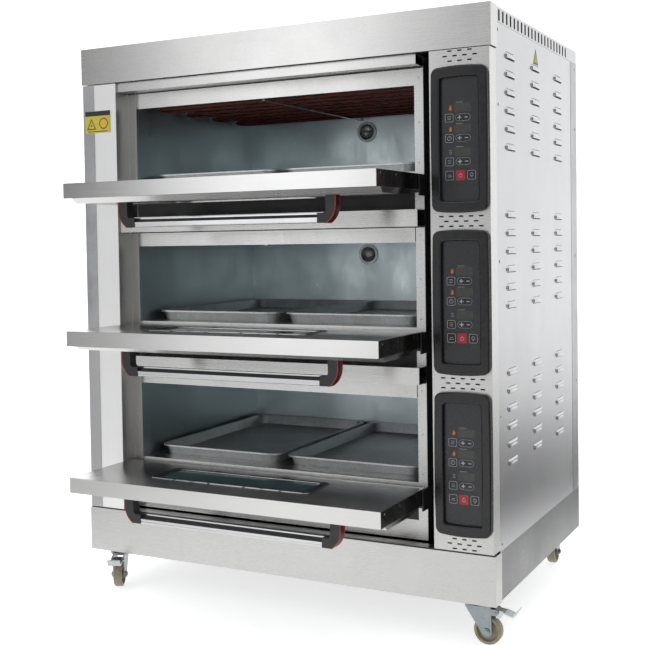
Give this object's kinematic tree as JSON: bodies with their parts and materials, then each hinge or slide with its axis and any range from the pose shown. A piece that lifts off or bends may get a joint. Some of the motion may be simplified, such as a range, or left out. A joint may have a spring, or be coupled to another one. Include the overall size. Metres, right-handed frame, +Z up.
{
  "type": "deck oven",
  "caption": "Electric deck oven on casters with drop-down window doors, baking trays, heating tubes, chamber lamps and a column of control panels.",
  "frame": {"origin": "middle of the whole outline on the floor, with the doors open and the casters as they stand", "axes": "+X to the right seen from the front, +Y from the front to the back, +Z up"},
  "size_m": [1.262, 1.077, 1.555],
  "materials": {
    "brushed_stainless": "brushed along the width",
    "side_stainless": "fine brushed sheet",
    "chamber_steel": "satin aluminised steel",
    "dark_steel": "satin",
    "hearth_steel": "satin",
    "heated_tube": "oxidised, matt",
    "lamp_glass": "clear",
    "wool": "fibrous",
    "gloss_black": "gloss",
    "film_black": "satin film with printed keys",
    "circuit_board": "matt",
    "zinc": "zinc plated",
    "screw_steel": "polished",
    "gland_plastic": "matt",
    "door_stainless": "brushed along the width",
    "window_glass": "tinted",
    "handle_black": "satin",
    "handle_metal": "polished, grooved",
    "tray_metal": "satin aluminised",
    "wheel_nylon": "satin",
    "pedal_zinc": "zinc plated"
  },
  "bodies": {
    "cabinet": {"base_front": "brushed_stainless", "base_pan": "side_stainless", "caster_plates": "zinc", "left_column": "brushed_stainless", "control_column": "brushed_stainless", "top_band": "brushed_stainless", "top_cover": "side_stainless", "left_side_panel": "side_stainless", "right_side_panel": "side_stainless", "back_panel": "side_stainless", "cable_gland": "gland_plastic", "deck_frames": "brushed_stainless", "deck_rails": "brushed_stainless", "chamber_low": "chamber_steel", "chamber_mid": "chamber_steel", "chamber_top": "chamber_steel", "hearth_plates": "hearth_steel", "upper_elements": "heated_tube", "lower_elements": "heated_tube", "element_hangers": "hearth_steel", "lamp_housings": "zinc", "lamp_glasses": "lamp_glass", "insulation": "wool", "panel_bezels": "gloss_black", "panel_films": "film_black", "control_boards": "circuit_board", "hinge_brackets": "dark_steel", "panel_screws": "screw_steel"},
    "door_low": {"door_shell_low": "door_stainless", "door_liner_low": "door_stainless", "door_glass_low": "window_glass", "handle_brackets_low": "handle_black", "handle_bar_low": "handle_metal"},
    "tray_low_left": {"tray_low_left": "tray_metal"},
    "tray_low_right": {"tray_low_right": "tray_metal"},
    "door_mid": {"door_shell_mid": "door_stainless", "door_liner_mid": "door_stainless", "door_glass_mid": "window_glass", "handle_brackets_mid": "handle_black", "handle_bar_mid": "handle_metal"},
    "tray_mid_left": {"tray_mid_left": "tray_metal"},
    "tray_mid_right": {"tray_mid_right": "tray_metal"},
    "door_top": {"door_shell_top": "door_stainless", "door_liner_top": "door_stainless", "door_glass_top": "window_glass", "handle_brackets_top": "handle_black", "handle_bar_top": "handle_metal"},
    "tray_top_left": {"tray_top_left": "tray_metal"},
    "tray_top_right": {"tray_top_right": "tray_metal"},
    "fork_front_right": {"fork_front_right": "zinc"},
    "wheel_front_right": {"wheel_front_right": "wheel_nylon"},
    "pedal_front_right": {"pedal_front_right": "pedal_zinc"},
    "fork_front_left": {"fork_front_left": "zinc"},
    "wheel_front_left": {"wheel_front_left": "wheel_nylon"},
    "pedal_front_left": {"pedal_front_left": "pedal_zinc"},
    "fork_rear_right": {"fork_rear_right": "zinc"},
    "wheel_rear_right": {"wheel_rear_right": "wheel_nylon"},
    "fork_rear_left": {"fork_rear_left": "zinc"},
    "wheel_rear_left": {"wheel_rear_left": "wheel_nylon"}
  },
  "joints": [
    {"name": "door_low_hinge", "type": "hinge", "parent": "cabinet", "child": "door_low", "pos_m": [-0.058, -0.2635, 0.359], "axis": [-1, 0, 0], "range_deg": [0, 90]},
    {"name": "tray_low_left_slide", "type": "slide", "parent": "cabinet", "child": "tray_low_left", "axis": [0, 1, 0], "range_m": [-0.65, 0]},
    {"name": "tray_low_right_slide", "type": "slide", "parent": "cabinet", "child": "tray_low_right", "axis": [0, 1, 0], "range_m": [-0.65, 0]},
    {"name": "door_mid_hinge", "type": "hinge", "parent": "cabinet", "child": "door_mid", "pos_m": [-0.058, -0.2635, 0.751], "axis": [-1, 0, 0], "range_deg": [0, 90]},
    {"name": "tray_mid_left_slide", "type": "slide", "parent": "cabinet", "child": "tray_mid_left", "axis": [0, 1, 0], "range_m": [-0.65, 0]},
    {"name": "tray_mid_right_slide", "type": "slide", "parent": "cabinet", "child": "tray_mid_right", "axis": [0, 1, 0], "range_m": [-0.65, 0]},
    {"name": "door_top_hinge", "type": "hinge", "parent": "cabinet", "child": "door_top", "pos_m": [-0.058, -0.2635, 1.143], "axis": [-1, 0, 0], "range_deg": [0, 90]},
    {"name": "tray_top_left_slide", "type": "slide", "parent": "cabinet", "child": "tray_top_left", "axis": [0, 1, 0], "range_m": [-0.65, 0]},
    {"name": "tray_top_right_slide", "type": "slide", "parent": "cabinet", "child": "tray_top_right", "axis": [0, 1, 0], "range_m": [-0.65, 0]},
    {"name": "front_right_swivel", "type": "hinge", "parent": "cabinet", "child": "fork_front_right", "pos_m": [0.527, -0.2465, 0.096], "axis": [0, 0, 1], "continuous": true},
    {"name": "front_right_roll", "type": "hinge", "parent": "fork_front_right", "child": "wheel_front_right", "pos_m": [0.551, -0.2465, 0.035], "axis": [0, 1, 0], "continuous": true},
    {"name": "front_right_brake", "type": "hinge", "parent": "fork_front_right", "child": "pedal_front_right", "pos_m": [0.573, -0.2465, 0.084], "axis": [0, 1, 0], "range_deg": [0, 10]},
    {"name": "front_left_swivel", "type": "hinge", "parent": "cabinet", "child": "fork_front_left", "pos_m": [-0.569, -0.2465, 0.096], "axis": [0, 0, 1], "continuous": true},
    {"name": "front_left_roll", "type": "hinge", "parent": "fork_front_left", "child": "wheel_front_left", "pos_m": [-0.55886, -0.26825, 0.035], "axis": [0.9063, 0.4226, 0], "continuous": true},
    {"name": "front_left_brake", "type": "hinge", "parent": "fork_front_left", "child": "pedal_front_left", "pos_m": [-0.54956, -0.28819, 0.084], "axis": [0.9063, 0.4226, 0], "range_deg": [0, 10]},
    {"name": "rear_right_swivel", "type": "hinge", "parent": "cabinet", "child": "fork_rear_right", "pos_m": [0.514, 0.4685, 0.096], "axis": [0, 0, 1], "continuous": true},
    {"name": "rear_right_roll", "type": "hinge", "parent": "fork_rear_right", "child": "wheel_rear_right", "pos_m": [0.514, 0.4925, 0.035], "axis": [-1, 0, 0], "continuous": true},
    {"name": "rear_left_swivel", "type": "hinge", "parent": "cabinet", "child": "fork_rear_left", "pos_m": [-0.556, 0.4685, 0.096], "axis": [0, 0, 1], "continuous": true},
    {"name": "rear_left_roll", "type": "hinge", "parent": "fork_rear_left", "child": "wheel_rear_left", "pos_m": [-0.556, 0.4925, 0.035], "axis": [-1, 0, 0], "continuous": true}
  ]
}
